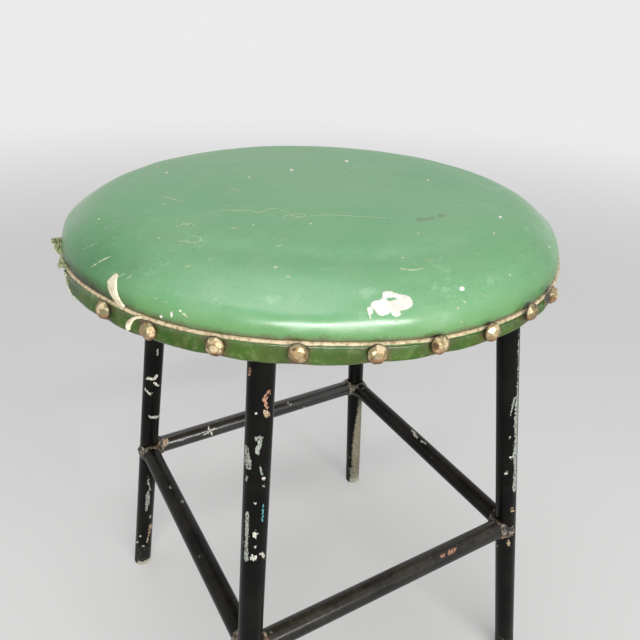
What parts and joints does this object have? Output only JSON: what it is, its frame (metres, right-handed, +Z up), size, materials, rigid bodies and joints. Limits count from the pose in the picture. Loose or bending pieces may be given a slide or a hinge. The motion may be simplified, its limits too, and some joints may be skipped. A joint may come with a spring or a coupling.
{
  "type": "upholstered stool",
  "caption": "Low round stool with a crowned, piped and nail-edged vinyl seat on splayed steel tube legs joined by a square of tube stretchers.",
  "frame": {"origin": "on the floor, under the centre of the round seat", "axes": "+Z up; X and Y along the stretchers, legs on the diagonals; -Y is the side called front"},
  "size_m": [0.4026, 0.4063, 0.5069],
  "materials": {
    "plywood": "dry, unfinished",
    "padding": "soft, matte",
    "green_vinyl": "worn, soft sheen",
    "welt_string": "twisted, matte",
    "welt_vinyl": "worn, glossy",
    "band_vinyl": "glossy, grimy",
    "aged_brass": "hammered, tarnished",
    "tack_steel": "blued",
    "black_paint": "glossy, chipped",
    "screw_steel": "dull",
    "foot_steel": "worn bare",
    "braze_metal": "rough, paint worn off"
  },
  "bodies": {
    "root": {"seat_board": "plywood", "seat_pad": "padding", "seat_cover": "green_vinyl", "welt_cord": "welt_string", "welt_cover": "welt_vinyl", "side_band": "band_vinyl", "dome_nails": "aged_brass", "cover_tacks": "tack_steel", "seat_ring": "black_paint", "ring_screws": "screw_steel", "leg_front_left": "black_paint", "foot_front_left": "foot_steel", "top_weld_front_left": "black_paint", "stretcher_braze_front_left": "braze_metal", "leg_front_right": "black_paint", "foot_front_right": "foot_steel", "top_weld_front_right": "black_paint", "stretcher_braze_front_right": "braze_metal", "leg_back_right": "black_paint", "foot_back_right": "foot_steel", "top_weld_back_right": "black_paint", "stretcher_braze_back_right": "braze_metal", "leg_back_left": "black_paint", "foot_back_left": "foot_steel", "top_weld_back_left": "black_paint", "stretcher_braze_back_left": "braze_metal", "stretcher_front": "black_paint", "stretcher_right": "black_paint", "stretcher_back": "black_paint", "stretcher_left": "black_paint"}
  },
  "joints": []
}
